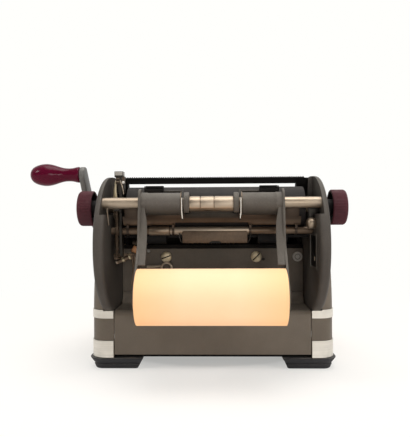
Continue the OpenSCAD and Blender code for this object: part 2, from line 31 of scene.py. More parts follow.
# Places shared with the model's own source, in millimetres: [y, z] across the machine.
CASE_W, REAR_Y, FRONT_Y, HUMP_Z, FOOT_H = 210, 130, -132, 158, 10
SHELL_ROUND, COVER_X, DECK_TILT = 13, 84.6, math.radians(23.77)
CHEEK_C, CHEEK_R, CHEEK_X = (112, 107.6), 59.5, 93.8
ROD_C, ROD_R, SLEEVE_C, SLEEVE_R, SPACER_C = (150.4, 143.3), 4, (150.4, 142.2), 9.2, (150.4, 142)
PLATEN_C, PLATEN_R = (123, 139.3), 18.2
FEED_C, ROLL_C, KNEE_C = (136, 119.8), (182, 70.5), (159, 108)
CRANK_C, GRIP_C = (55, 105), (109.637, 170.114)
BACK_Y = 88.5
SCREW_X, SCREW_Z, SCREW_R = (43.4, -41), 94, 5.1
STUD_C = (150, 125.8)
ROLL_R, ROLL_HALF = 21.5, 56.5
KNOB_IN, KNOB_OUT, KNOB_R = 102.6, 115.4, 15.3
DECK_MID = (-64, 82.56)
KEY_SIDE, KEY_PITCH = 14.5, 19
WARM = (1, 0.98, 0.95)


def add_object(name, data):
    obj = bpy.data.objects.new(name, data)
    bpy.context.scene.collection.objects.link(obj)
    return obj


# Camera
def place_camera():
    """Where the photo was taken from: behind the machine, just above the platen."""
    data = bpy.data.cameras.new("photo_camera")
    data.sensor_width, data.lens = 36, 42.98
    data.clip_start, data.clip_end = 0.02, 50
    cam = add_object("photo_camera", data)
    yaw, pitch, roll = 0.0247, 0.0026, 0.0053
    ahead = Vector((math.sin(yaw), -math.cos(yaw), -math.sin(pitch))).normalized()
    right = ahead.cross(Vector((0, 0, 1))).normalized()
    up = right.cross(ahead)
    c, s = math.cos(roll), math.sin(roll)
    up, right = up * c + right * s, right * c - up * s
    turn = Matrix((right, up, -ahead)).transposed().to_4x4()
    cam.matrix_world = Matrix.Translation((-0.00529, 0.57843, 0.13127)) @ turn
    bpy.context.scene.camera = cam


place_camera()
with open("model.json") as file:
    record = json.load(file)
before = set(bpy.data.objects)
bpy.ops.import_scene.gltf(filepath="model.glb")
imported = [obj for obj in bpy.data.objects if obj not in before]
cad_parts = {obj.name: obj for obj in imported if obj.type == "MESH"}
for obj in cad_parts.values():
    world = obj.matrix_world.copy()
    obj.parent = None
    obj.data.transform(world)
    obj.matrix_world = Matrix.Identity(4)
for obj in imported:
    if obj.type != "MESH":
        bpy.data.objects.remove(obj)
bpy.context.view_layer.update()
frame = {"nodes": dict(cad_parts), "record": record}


# Materials
def node(tree, kind, **inputs):
    """A shader node with its sockets and properties set."""
    n = tree.nodes.new(kind)
    for key, value in inputs.items():
        if key[0] == "_":
            setattr(n, key[1:], value)
        else:
            n.inputs[key.replace("_", " ")].default_value = value
    return n


def mix(tree, factor, a, b, mode="MIX"):
    """Mixes two colours; each of the three is a socket or a value."""
    n = tree.nodes.new("ShaderNodeMix")
    n.data_type, n.blend_type = "RGBA", mode
    for i, v in ((0, factor), (6, a), (7, b)):
        if hasattr(v, "is_output"):
            tree.links.new(v, n.inputs[i])
        elif i == 0:
            n.inputs[i].default_value = v
        else:
            n.inputs[i].default_value = (*v[:3], 1)
    return n.outputs[2]


def math_node(tree, operation, *values):
    """The outcome of one operation on sockets or values."""
    n = node(tree, "ShaderNodeMath", _operation=operation)
    for i, v in enumerate(values):
        if hasattr(v, "is_output"):
            tree.links.new(v, n.inputs[i])
        else:
            n.inputs[i].default_value = v
    return n.outputs[0]


def axis_of(tree, vector, letter):
    """One coordinate of a vector."""
    n = node(tree, "ShaderNodeSeparateXYZ")
    tree.links.new(vector, n.inputs[0])
    return n.outputs[letter]


def mix_shaders(tree, factor, a, b):
    n = node(tree, "ShaderNodeMixShader")
    for i, v in enumerate((factor, a.outputs[0], b.outputs[0])):
        tree.links.new(v, n.inputs[i])
    return n.outputs[0]


def empty_tree(owner):
    """The cleared node tree of a material or world."""
    owner.use_nodes = True
    owner.node_tree.nodes.clear()
    return owner.node_tree


def spread(tree, socket, lo, hi, a=0.0, b=1.0):
    """The socket's range lo to hi brought to a to b."""
    n = node(tree, "ShaderNodeMapRange", From_Min=lo, From_Max=hi, To_Min=a, To_Max=b)
    tree.links.new(socket, n.inputs["Value"])
    return n.outputs["Result"]


def noise(tree, coords, scale, detail=3.0, stretch=None):
    """Noise of a scale per metre, drawn out along the axes by stretch."""
    if stretch:
        m = node(tree, "ShaderNodeMapping", Scale=stretch)
        tree.links.new(coords, m.inputs["Vector"])
        coords = m.outputs["Vector"]
    n = node(tree, "ShaderNodeTexNoise", Scale=scale, Detail=detail, Roughness=0.6)
    tree.links.new(coords, n.inputs["Vector"])
    return n.outputs["Fac"]


MAT = {}


def finish(name, dark, light, rough, metallic=0.0, grain=900, bump=0.15, blotch=28, stretch=None, dust=0.0,
           dust_colour=(0.42, 0.39, 0.34), wear=0.0, wear_colour=(0.5, 0.46, 0.4), edge=0.35, coat=0.0, specular=0.5,
           streak=0.0, speck=0.12, ends=None, shade=()):
    """A material whose colour and gloss drift between two tones over a fine grain, with dust on top and worn edges.

    ends tints it away from the middle of the X axis, and each (none, full, tint) of shade between two heights, which is
    painted shade.
    """
    m = MAT[name] = bpy.data.materials.new(name)
    tree = empty_tree(m)
    out = node(tree, "ShaderNodeOutputMaterial")
    b = node(tree, "ShaderNodeBsdfPrincipled", Metallic=metallic, Coat_Weight=coat, Coat_Roughness=0.16,
             Specular_IOR_Level=specular)
    tree.links.new(b.outputs[0], out.inputs[0])
    coords = node(tree, "ShaderNodeTexCoord").outputs["Object"]
    wide = noise(tree, coords, blotch, 4.0)
    fine = noise(tree, coords, grain, 2.0, stretch)
    tone = spread(tree, wide, 0.32, 0.68)
    colour = mix(tree, tone, dark, light)
    specks = spread(tree, fine, 0.3, 0.7, 1 - speck, 1 + speck)
    grey = node(tree, "ShaderNodeCombineColor")
    for i in range(3):
        tree.links.new(specks, grey.inputs[i])
    colour = mix(tree, 1.0, colour, grey.outputs[0], "MULTIPLY")
    if streak:
        lines = noise(tree, coords, 60, 3.0, (0.15, 6, 6))
        colour = mix(tree, spread(tree, lines, 0.5, 0.75, 0.0, streak), colour, [v * 0.45 for v in dark])
    if ends:
        size = math_node(tree, "ABSOLUTE", axis_of(tree, coords, "X"))
        colour = mix(tree, spread(tree, size, 0.02, 0.058, 0.0, 0.9), colour, ends)
    # Painted shade: the colour darkens towards tint between the two heights.
    for none, full, tint in shade:
        height = axis_of(tree, coords, "Z")
        colour = mix(tree, spread(tree, height, none, full, 0.0, 0.85), colour, tint)
    shape = node(tree, "ShaderNodeNewGeometry")
    if dust:
        settled = spread(tree, axis_of(tree, shape.outputs["Normal"], "Z"), 0.3, 1.0)
        patchy = spread(tree, noise(tree, coords, 90, 5.0), 0.35, 0.7, 0.25, 1.0)
        share = math_node(tree, "MULTIPLY", settled, patchy)
        colour = mix(tree, spread(tree, share, 0.0, 1.0, 0.0, dust), colour, dust_colour)
    soft = node(tree, "ShaderNodeBevel", Radius=edge * MM, _samples=4) if edge else None
    if wear:
        agree = node(tree, "ShaderNodeVectorMath", _operation="DOT_PRODUCT")
        tree.links.new(soft.outputs[0], agree.inputs[0])
        tree.links.new(shape.outputs["Normal"], agree.inputs[1])
        edges = spread(tree, agree.outputs["Value"], 0.985, 0.93)
        broken = spread(tree, noise(tree, coords, 240, 4.0), 0.45, 0.6)
        share = math_node(tree, "MULTIPLY", edges, broken)
        colour = mix(tree, spread(tree, share, 0.0, 1.0, 0.0, wear), colour, wear_colour)
    tree.links.new(colour, b.inputs["Base Color"])
    gloss = spread(tree, wide, 0.3, 0.7, max(rough - 0.07, 0.04), min(rough + 0.09, 1.0))
    tree.links.new(gloss, b.inputs["Roughness"])
    bumps = node(tree, "ShaderNodeBump", Strength=bump, Distance=0.0004)
    tree.links.new(fine, bumps.inputs["Height"])
    if edge:
        tree.links.new(soft.outputs[0], bumps.inputs["Normal"])
    tree.links.new(bumps.outputs[0], b.inputs["Normal"])


finish("case_paint", (0.105, 0.086, 0.066), (0.132, 0.11, 0.086), 0.5, grain=1500, bump=0.22, dust=0.12, wear=0.3,
       wear_colour=(0.3, 0.27, 0.22), specular=0.3)
finish("cheek_paint", (0.07, 0.061, 0.052), (0.092, 0.083, 0.071), 0.6, grain=1300, bump=0.5, dust=0.16, wear=0.3,
       wear_colour=(0.24, 0.22, 0.19), specular=0.25)
finish("cheek_dark", (0.048, 0.041, 0.035), (0.064, 0.056, 0.048), 0.58, grain=1300, bump=0.4, dust=0.12, wear=0.35,
       wear_colour=(0.2, 0.18, 0.16), specular=0.25)
finish("crank_grey", (0.1, 0.097, 0.09), (0.128, 0.124, 0.116), 0.5, grain=1300, bump=0.3, dust=0.15, wear=0.3,
       wear_colour=(0.34, 0.32, 0.29), specular=0.35)
finish("band_metal", (0.6, 0.57, 0.51), (0.72, 0.69, 0.63), 0.42, metallic=0.5, grain=700, bump=0.06,
       stretch=(0.03, 0.03, 1), blotch=40, streak=0.12, speck=0.06)
finish("black_rubber", (0.017, 0.017, 0.02), (0.028, 0.028, 0.032), 0.62, grain=800, bump=0.3, dust=0.2, edge=1.2,
       specular=0.3)
finish("black_paint", (0.0038, 0.0035, 0.0033), (0.006, 0.0056, 0.0052), 0.55, grain=1400, bump=0.1, wear=0.05,
       specular=0.04)
finish("platen_rubber", (0.017, 0.0145, 0.014), (0.028, 0.025, 0.024), 0.62, grain=600, bump=0.12,
       stretch=(4, 0.6, 0.6), dust=0.03, streak=0.3, specular=0.15)
finish("dark_rubber", (0.007, 0.0065, 0.0065), (0.013, 0.012, 0.012), 0.6, grain=600, bump=0.12, stretch=(4, 0.6, 0.6),
       dust=0.03, specular=0.15)
finish("steel", (0.2, 0.15, 0.107), (0.28, 0.22, 0.162), 0.45, metallic=0.9, grain=500, bump=0.08,
       stretch=(0.06, 2, 2), streak=0.45, blotch=70, speck=0.08)
finish("bright_steel", (0.34, 0.27, 0.2), (0.44, 0.36, 0.28), 0.46, metallic=0.9, grain=500, bump=0.05,
       stretch=(0.05, 2, 2), streak=0.4, blotch=60, speck=0.06)
finish("bronze_steel", (0.1, 0.067, 0.043), (0.145, 0.101, 0.068), 0.44, metallic=0.7, grain=700, bump=0.08,
       blotch=110, streak=0.25, speck=0.05)
finish("dark_steel", (0.02, 0.017, 0.014), (0.042, 0.036, 0.029), 0.46, metallic=0.7, grain=600, bump=0.12, streak=0.3)
# Near black with little gloss: the real black of the rollers and their caps, and painted shade on the parts inside the
# case, in the cheek's slot and along the back plate's top.
finish("black_and_painted_shade", (0.006, 0.0052, 0.0046), (0.011, 0.0095, 0.0085), 0.55, metallic=0.3, grain=600, bump=0.1, edge=0,
       specular=0.06)
finish("brass", (0.4, 0.33, 0.21), (0.54, 0.46, 0.32), 0.42, metallic=0.7, grain=800, bump=0.08, streak=0.3,
       blotch=120)
finish("knob_plastic", (0.048, 0.0085, 0.0135), (0.07, 0.0155, 0.022), 0.5, grain=700, bump=0.08, dust=0.12,
       dust_colour=(0.26, 0.16, 0.17), specular=0.2)
finish("grip_plastic", (0.062, 0.0022, 0.012), (0.08, 0.0032, 0.017), 0.17, grain=160, bump=0.0, edge=0, speck=0.03,
       specular=0.11)
finish("copper", (0.24, 0.11, 0.045), (0.36, 0.175, 0.075), 0.5, metallic=0.3, grain=700, bump=0.1)
finish("bronze_dark", (0.062, 0.042, 0.027), (0.1, 0.068, 0.045), 0.46, metallic=0.7, grain=700, bump=0.1, blotch=140,
       streak=0.3)
# The pans' bronze, a little lighter, with painted shade: darker above 126 mm, where the rod shades the sheet, and below
# 124.7 mm on the legs' tips.
finish("pan_metal_shaded", (0.12, 0.08, 0.052), (0.165, 0.115, 0.078), 0.46, metallic=0.7, grain=700, bump=0.08, blotch=110,
       streak=0.25, speck=0.05, shade=((0.126, 0.13, (0.045, 0.03, 0.021)), (0.1247, 0.124, (0.03, 0.02, 0.014))))
# The arm paint a little lighter, with painted shade darkening the sleeves from 142.5 mm down to 133.5 mm.
finish("sleeve_paint_shaded", (0.074, 0.064, 0.055), (0.1, 0.09, 0.077), 0.6, grain=1300, bump=0.5, dust=0.16, wear=0.3,
       wear_colour=(0.24, 0.22, 0.19), specular=0.25, shade=((0.1425, 0.1335, (0.022, 0.018, 0.014)),))
finish("zinc", (0.26, 0.245, 0.22), (0.34, 0.32, 0.29), 0.5, metallic=0.3, grain=900, bump=0.1)
finish("key_plastic", (0.075, 0.016, 0.024), (0.1, 0.026, 0.036), 0.34, grain=900, bump=0.08, dust=0.12,
       dust_colour=(0.3, 0.2, 0.2))
finish("key_dark", (0.018, 0.017, 0.016), (0.03, 0.028, 0.026), 0.36, grain=900, bump=0.08, dust=0.12)
finish("paper", (0.94, 0.635, 0.4), (0.97, 0.67, 0.435), 0.85, grain=1500, bump=0.04, blotch=12, specular=0.1, edge=0,
       speck=0.02, ends=(0.94, 0.55, 0.28))
finish("cardboard", (0.25, 0.15, 0.075), (0.36, 0.22, 0.12), 0.9, grain=500, bump=0.2, stretch=(1, 3, 3))
finish("legend", (0.62, 0.57, 0.46), (0.72, 0.67, 0.56), 0.5, grain=900, bump=0.03, edge=0)
# A darker copy of the case paint, on the back plate: painted shade of its recess.
finish("case_paint_shaded", (0.08, 0.066, 0.051), (0.108, 0.09, 0.071), 0.52, grain=1500, bump=0.25, dust=0.1, wear=0.25,
       wear_colour=(0.26, 0.23, 0.19), specular=0.25)
finish("seam_dark", (0.01, 0.009, 0.008), (0.02, 0.018, 0.016), 0.6, grain=900, bump=0.1, edge=0, specular=0.1)

slot_of = {s["node"]: s["material_slot"] for s in frame["record"]["subparts"]}
# CAD nodes that the photo shows in another finish than their slot's.
# Some of these are painted shade: the near-black of the parts inside the case, the darker case paint of the recessed
# back plate, and the pans' finish that darkens towards the top.
OWN_FINISH = {
    "pressure_rollers": "dark_rubber", "bail_rollers": "black_and_painted_shade", "bail_fingers": "dark_steel",
    "feed_bracket": "bronze_steel", "paper_pans": "pan_metal_shaded", "spring_anchor": "bronze_steel",
    "cheek_right": "cheek_dark", "cheek_left": "cheek_dark", "back_plate": "case_paint_shaded",
    "release_lever": "dark_steel", "type_sectors": "black_and_painted_shade", "stem_guide": "black_and_painted_shade",
    "side_frames": "black_and_painted_shade", "tie_rods": "dark_steel"}
for name, obj in frame["nodes"].items():
    obj.data.materials.clear()
    obj.data.materials.append(MAT[OWN_FINISH.get(name, slot_of[name])])


def smooth_group():
    """Geometry nodes that merge a mesh's doubled points and smooth it where faces meet at less than 35 degrees."""
    g = bpy.data.node_groups.new("smooth_by_angle", "GeometryNodeTree")
    g.interface.new_socket("Geometry", in_out="INPUT", socket_type="NodeSocketGeometry")
    g.interface.new_socket("Geometry", in_out="OUTPUT", socket_type="NodeSocketGeometry")
    start, end = g.nodes.new("NodeGroupInput"), g.nodes.new("NodeGroupOutput")
    plain = g.nodes.new("GeometryNodeRemoveAttribute")
    plain.inputs["Name"].default_value = "custom_normal"
    merge = g.nodes.new("GeometryNodeMergeByDistance")
    merge.inputs["Distance"].default_value = 2e-6
    faces = g.nodes.new("GeometryNodeSetShadeSmooth")
    edges = g.nodes.new("GeometryNodeSetShadeSmooth")
    edges.domain = "EDGE"
    angle = g.nodes.new("GeometryNodeInputMeshEdgeAngle")
    less = g.nodes.new("FunctionNodeCompare")
    less.data_type, less.operation = "FLOAT", "LESS_THAN"
    less.inputs[1].default_value = math.radians(35)
    g.links.new(start.outputs[0], plain.inputs[0])
    g.links.new(plain.outputs[0], merge.inputs[0])
    g.links.new(merge.outputs[0], faces.inputs[0])
    g.links.new(faces.outputs[0], edges.inputs[0])
    g.links.new(angle.outputs["Unsigned Angle"], less.inputs[0])
    g.links.new(less.outputs[0], edges.inputs["Shade Smooth"])
    g.links.new(edges.outputs[0], end.inputs[0])
    return g


smooth = smooth_group()
for obj in frame["nodes"].values():
    obj.modifiers.new("smooth", "NODES").node_group = smooth


# Shapes: sizes in millimetres, in the row frame
def mesh_of(name, bm):
    mesh = bpy.data.meshes.new(name)
    bm.to_mesh(mesh)
    bm.free()
    return mesh


def finished_mesh(obj):
    """The object's mesh with its modifiers applied."""
    bpy.context.view_layer.update()
    return bpy.data.meshes.new_from_object(obj.evaluated_get(bpy.context.evaluated_depsgraph_get()))


def piece(name, bm, material, body, stands_for=(), bevel=0.0, segments=2, sharp=38, merge=0.0):
    """Turns a bmesh into a piece that rides on a body, its edges rounded by bevel."""
    if merge:
        bmesh.ops.remove_doubles(bm, verts=bm.verts, dist=merge)
    bmesh.ops.recalc_face_normals(bm, faces=bm.faces)
    if bevel:
        corners = [e for e in bm.edges if len(e.link_faces) == 2 and e.calc_face_angle(0) > math.radians(sharp)]
        bmesh.ops.bevel(bm, geom=corners, offset=bevel, segments=segments, profile=0.5, affect="EDGES",
                        clamp_overlap=True)
    bmesh.ops.scale(bm, vec=(MM, MM, MM), verts=bm.verts)
    for f in bm.faces:
        f.smooth = True
    for e in bm.edges:
        e.smooth = len(e.link_faces) != 2 or e.calc_face_angle(0) < math.radians(sharp)
    mesh = mesh_of(name, bm)
    mesh.materials.append(MAT[material])
    obj = add_object(name, mesh)
    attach(obj, body)
    if stands_for:
        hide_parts(*stands_for)
    return obj


def polar(c, r, degrees):
    """The point at a distance and an angle from c."""
    return c[0] + r * math.cos(math.radians(degrees)), c[1] + r * math.sin(math.radians(degrees))


def circle(c, r, n):
    return [(c[0] + r * math.cos(2 * math.pi * i / n), c[1] + r * math.sin(2 * math.pi * i / n)) for i in range(n)]


def skin(bm, rings, closed=True, flip=False):
    """Faces between neighbouring rings of points; a ring of one point closes them like a cone."""
    for a, b in zip(rings, rings[1:]):
        n = max(len(a), len(b))
        for i in range(n if closed else n - 1):
            j = (i + 1) % n
            if len(a) == 1 and len(b) == 1:
                break
            if len(a) == 1:
                bm.faces.new((a[0], b[i], b[j]))
            elif len(b) == 1:
                bm.faces.new((a[i], b[0], a[j]))
            else:
                bm.faces.new((a[i], a[j], b[j], b[i]) if flip else (a[i], b[i], b[j], a[j]))


def add_lathe(bm, c, outline, n=96, side=1):
    """A body turned about the X axis through c = (y, z) from [radius, x] points; radius 0 closes it."""
    rings = [[bm.verts.new((side * x, y, z)) for y, z in (circle(c, r, n) if r else [c])] for r, x in outline]
    skin(bm, rings)
    return rings


def lathe(name, c, outline, material, body, n=96, side=1, **more):
    bm = bmesh.new()
    add_lathe(bm, c, outline, n, side)
    return piece(name, bm, material, body, **more)


def ring_outline(x0, x1, r, bore, chamfer=0.4):
    """Closed [radius, x] outline of a ring with chamfered rims."""
    k = chamfer
    return [(bore, x0 + k / 2), (bore + k / 2, x0), (r - k, x0), (r - k * 0.3, x0 + k * 0.3), (r, x0 + k), (r, x1 - k),
            (r - k * 0.3, x1 - k * 0.3), (r - k, x1), (bore + k / 2, x1), (bore, x1 - k / 2), (bore, x0 + k / 2)]


def rod_outline(x0, x1, r, chamfer=0.4):
    k = chamfer
    return [(0, x0), (r - k, x0), (r, x0 + k), (r, x1 - k), (r - k, x1), (0, x1)]


def add_ends(bm, near, far):
    """A closed body between two outlines."""
    a, b = [bm.verts.new(p) for p in near], [bm.verts.new(p) for p in far]
    bm.faces.new(a)
    bm.faces.new(b[::-1])
    skin(bm, [a, b])


def add_prism(bm, points, x0, x1):
    """A [y, z] outline stretched from x0 to x1."""
    add_ends(bm, [(x0, y, z) for y, z in points], [(x1, y, z) for y, z in points])


def prism(name, points, x0, x1, material, body, bevel=0.3):
    bm = bmesh.new()
    add_prism(bm, points, x0, x1)
    return piece(name, bm, material, body, bevel=bevel)


def add_box(bm, lo, hi, turn=None):
    cube = bmesh.ops.create_cube(bm, size=1)
    size, mid = Vector(hi) - Vector(lo), (Vector(hi) + Vector(lo)) / 2
    for v in cube["verts"]:
        v.co = Vector((v.co.x * size.x, v.co.y * size.y, v.co.z * size.z))
        if turn:
            v.co = turn @ v.co
        v.co += mid


def block(name, lo, hi, material, body, bevel=0.3, turn=None, **more):
    bm = bmesh.new()
    add_box(bm, lo, hi, turn)
    return piece(name, bm, material, body, bevel=bevel, **more)


def wire(name, points, r, material, body, sides=10, closed=False, **more):
    """A round wire through points."""
    bm = bmesh.new()
    points = [Vector(p) for p in points]
    n = len(points)
    rings, side = [], None
    for i, p in enumerate(points):
        ahead = points[(i + 1) % n] if closed or i < n - 1 else points[i]
        behind = points[i - 1] if closed or i > 0 else points[i]
        t = (ahead - behind).normalized()
        if side is None:
            side = t.orthogonal().normalized()
        side = (side - t * side.dot(t)).normalized()
        other = t.cross(side)
        turns = [2 * math.pi * k / sides for k in range(sides)]
        rings.append([bm.verts.new(p + r * (side * math.cos(a) + other * math.sin(a))) for a in turns])
    skin(bm, rings + (rings[:1] if closed else []))
    if not closed:
        bm.faces.new(rings[0])
        bm.faces.new(rings[-1][::-1])
    return piece(name, bm, material, body, **more)


def fillet(points, radii, step=6):
    """An open path whose inner corners are rounded."""
    out = [Vector(points[0])]
    for i in range(1, len(points) - 1):
        p, r = Vector(points[i]), radii[i - 1]
        u, v = (Vector(points[i - 1]) - p).normalized(), (Vector(points[i + 1]) - p).normalized()
        half = math.acos(max(-1, min(1, u.dot(v)))) / 2
        c = p + (u + v).normalized() * r / math.sin(half)
        s, e = p + u * r / math.tan(half) - c, p + v * r / math.tan(half) - c
        sweep = s.angle_signed(e) * -1
        count = max(1, math.ceil(math.degrees(abs(sweep)) / step))
        out += [c + Matrix.Rotation(sweep * k / count, 2) @ s for k in range(count + 1)]
    return out + [Vector(points[-1])]


def heading(path, i):
    return (path[min(i + 1, len(path) - 1)] - path[max(i - 1, 0)]).normalized()


def inset(path, d):
    """The path moved by d to its left."""
    return [p - d * Vector((heading(path, i).y, -heading(path, i).x)) for i, p in enumerate(path)]


def rounded_rect(w, h, r, n=8):
    """A rectangle about the origin with round corners."""
    pts = []
    for cx, cy, a in ((w / 2 - r, h / 2 - r, 0), (r - w / 2, h / 2 - r, 90), (r - w / 2, r - h / 2, 180),
                      (w / 2 - r, r - h / 2, 270)):
        pts += [polar((cx, cy), r, a + 90 * k / n) for k in range(n + 1)]
    return pts


def both(build):
    """Builds a piece on the operator's right (side 1) and its mirror image on the left (side -1)."""
    for side, word in ((1, "right"), (-1, "left")):
        build(side, word)


# Case
def cut_away(obj, cut):
    """Takes the bmesh cut out of a piece."""
    bmesh.ops.recalc_face_normals(cut, faces=cut.faces)
    bmesh.ops.scale(cut, vec=(MM, MM, MM), verts=cut.verts)
    tool = add_object("cut", mesh_of("cut", cut))
    mod = obj.modifiers.new("cut", "BOOLEAN")
    mod.operation, mod.object, mod.solver = "DIFFERENCE", tool, "EXACT"
    whole = finished_mesh(obj)
    obj.modifiers.clear()
    obj.data = whole
    bpy.data.objects.remove(tool)


def shell_skin(side, word):
    """Side cover with a wide rounding, rolled rims and a cut for the cheek, and a dark strip in its seam."""
    wall, flat = 1.6, CASE_W / 2 - SHELL_ROUND
    path = fillet([(REAR_Y, FOOT_H), (REAR_Y, 75), (98, HUMP_Z), (38, HUMP_Z), (2, 116),
                   (FRONT_Y, 116 - (2 - FRONT_Y) * math.tan(DECK_TILT)), (FRONT_Y, FOOT_H)],
                  [150, 50, 45, 60, 16], step=3)
    outer = [(flat + SHELL_ROUND * math.sin(math.radians(a)), SHELL_ROUND * (1 - math.cos(math.radians(a))))
             for a in range(90, 0, -5)]
    outer += [(flat, 0), (COVER_X + 0.9, 0), (COVER_X + 0.5, 0.15), (COVER_X + 0.4, 0.5)]
    inner = [(COVER_X + 0.4, wall), (flat, wall)]
    inner += [(flat + (SHELL_ROUND - wall) * math.sin(math.radians(a)),
               SHELL_ROUND - (SHELL_ROUND - wall) * math.cos(math.radians(a))) for a in range(10, 91, 10)]
    bm = bmesh.new()
    rings = [[bm.verts.new((side * x, *p)) for p in inset(path, d)] for x, d in outer + inner]
    skin(bm, rings, closed=False, flip=True)
    for ring in (rings[0], rings[-1]):
        bm.faces.new(ring)
    obj = piece("shell_" + word, bm, "case_paint", "case", stands_for=("side_shell_" + word,), sharp=50)
    bm = bmesh.new()
    count = len([p for p in path if p.x < 50])
    strips = [[bm.verts.new((side * x, *p)) for p in inset(path, d)[-count:]]
              for x, d in ((84.75, 1.7), (86.4, 1.7), (86.4, 2.2), (85.2, 2.2), (85.2, 7), (84.75, 7))]
    skin(bm, strips + strips[:1], closed=False, flip=True)
    piece("seam_back_" + word, bm, "seam_dark", "case")
    cut = bmesh.new()
    far = CHEEK_X + 0.3
    add_lathe(cut, CHEEK_C, [(0, 70), (CHEEK_R + 0.35, 70), (CHEEK_R + 0.35, far), (0, far)], 144, side)
    if side > 0:
        add_lathe(cut, CRANK_C, [(0, 96), (6.5, 96), (6.5, 120), (0, 120)], 48)
    cut_away(obj, cut)


both(shell_skin)


def build_foot(side_x, side_y):
    """Moulded rubber foot with rounded rims and a groove round it."""
    bm = bmesh.new()
    levels = [(0, 5.4), (0.5, 4.7), (1.6, 4.3), (3.6, 3.4), (4.1, 3.9), (4.8, 3.9), (5.3, 3.1), (8.2, 0.9), (9.2, 0.25),
              (9.7, 0.1), (10, 0.6)]
    rings = []
    for z, d in levels:
        r, low = 12 - d, 62 + d
        near, far_y, far_x = 60.2 + d, 131.5 - d, 107.5 - d
        pts = [(near + 1, low), (near, low + 1), (near, far_y - 1), (near + 1, far_y)]
        pts += [(far_x - r + r * math.sin(math.radians(a)), far_y - r + r * math.cos(math.radians(a)))
                for a in range(0, 91, 9)]
        pts += [(far_x, low + 1), (far_x - 1, low)]
        rings.append([bm.verts.new((side_x * x, side_y * y, z)) for x, y in pts])
    skin(bm, rings, flip=True)
    bm.faces.new(rings[0])
    bm.faces.new(rings[-1])
    return bm


feet = bmesh.new()
for sx in (-1, 1):
    for sy in (-1, 1):
        one = build_foot(sx, sy)
        bmesh.ops.recalc_face_normals(one, faces=one.faces)
        spare = mesh_of("spare", one)
        feet.from_mesh(spare)
        bpy.data.meshes.remove(spare)
piece("rubber_feet", feet, "black_rubber", "case", stands_for=("feet",), sharp=50)


# Paper roll
def paper_roll():
    """Wound paper with slightly uneven ends, and its loose end."""
    core, r, half = 8.02, ROLL_R, ROLL_HALF
    ends = [[(core + (r - core) * k / 26, s * (half - 0.12 - 0.1 * math.sin(k * 2.1) - 0.06 * math.cos(k * 5.3)))
             for k in range(26)] for s in (-1, 1)]
    rims = [(r - 0.3, -half + 0.05), (r - 0.08, -half + 0.12), (r, -half + 0.4), (r, half - 0.4),
            (r - 0.08, half - 0.12), (r - 0.3, half - 0.05)]
    lathe("wound_paper", ROLL_C, ends[0] + rims + ends[1][::-1] + ends[0][:1], "paper", "paper_roll", n=160,
          stands_for=("paper_roll",), merge=0.001)
    path = [Vector(polar(ROLL_C, r + (0.1 + max(0, 8 - k) * 0.05), 118 + k * 2.2)) for k in range(31)]
    under = [p - (p - Vector(ROLL_C)).normalized() * 0.09 for p in path[::-1]]
    prism("loose_end", path + under, -half, half, "paper", "paper_roll", bevel=0)


paper_roll()
lathe("core_tube", ROLL_C, ring_outline(-ROLL_HALF, ROLL_HALF, 8, 5.96, 0.3), "cardboard", "paper_roll",
      stands_for=("paper_core",), merge=0.001)


# Roll arms
def roll_arm(side, word):
    """Sleeve with a pad, a flat web beside the roll and a curved flange behind it."""
    x0, body = 57.2, "roll_holder"
    bore, rim = ROD_R + 1.3, SLEEVE_R + 0.3
    tube = [(bore, 25.2), (bore + 0.2, 25), (SLEEVE_R - 0.5, 25), (SLEEVE_R - 0.15, 25.15), (SLEEVE_R, 25.5),
            (SLEEVE_R, x0 - 5.4), (SLEEVE_R + 0.15, x0 - 5.15), (rim - 0.3, x0 - 5), (rim, x0 - 4.7), (rim, x0 + 1.4),
            (rim - 0.3, x0 + 1.7), (bore + 0.2, x0 + 1.7), (bore, x0 + 1.5), (bore, 25.2)]
    # The sleeve's finish darkens its lower side: painted shade.
    lathe("arm_sleeve_" + word, SLEEVE_C, tube, "sleeve_paint_shaded", body, n=80, side=side,
          stands_for=("roll_arm_" + word,), merge=0.001)

    def around(c, r, a0, a1, count=14):
        return [polar(c, r, a0 + (a1 - a0) * k / count) for k in range(count + 1)]
    web = around((ROD_C[0] + 2, ROD_C[1] + 3.6), 7.6, 9, 190) + around(KNEE_C, 7, 191, 210, 3)
    web += around(ROLL_C, 10, 212, 400, 20) + around(KNEE_C, 7, 20, 6, 3)
    prism("arm_web_" + word, web, side * x0, side * (x0 + 1.8), "cheek_paint", body, bevel=0.25)
    path = fillet([(KNEE_C[0] + 17.2, KNEE_C[1] - 13.8), (KNEE_C[0] + 5.7, KNEE_C[1] + 2.2),
                   (ROD_C[0] + 8.2, ROD_C[1])], [80])
    run = [sum((b - a).length for a, b in zip(path[:k], path[1:k + 1])) for k in range(len(path))]
    bm = bmesh.new()
    quads = []
    for p, q, v in zip(path, inset(path, 1.6), run):
        width = 7.3 - 13 * max(0, v / run[-1] - 0.5) ** 2
        near, far = side * (x0 - width + 1.4), side * (x0 + 1.6)
        quads.append([bm.verts.new((x, *r)) for x, r in ((near, p), (far, p), (far, q), (near, q))])
    skin(bm, quads, flip=True)
    bm.faces.new(quads[0])
    bm.faces.new(quads[-1])
    piece("arm_flange_" + word, bm, "cheek_paint", body, bevel=0.45, segments=3, sharp=50)
    lathe("arm_stub_" + word, ROLL_C, rod_outline(x0 - 8, x0 + 0.6, 5.9, 0.8), "cheek_paint", body, side=side)


both(roll_arm)


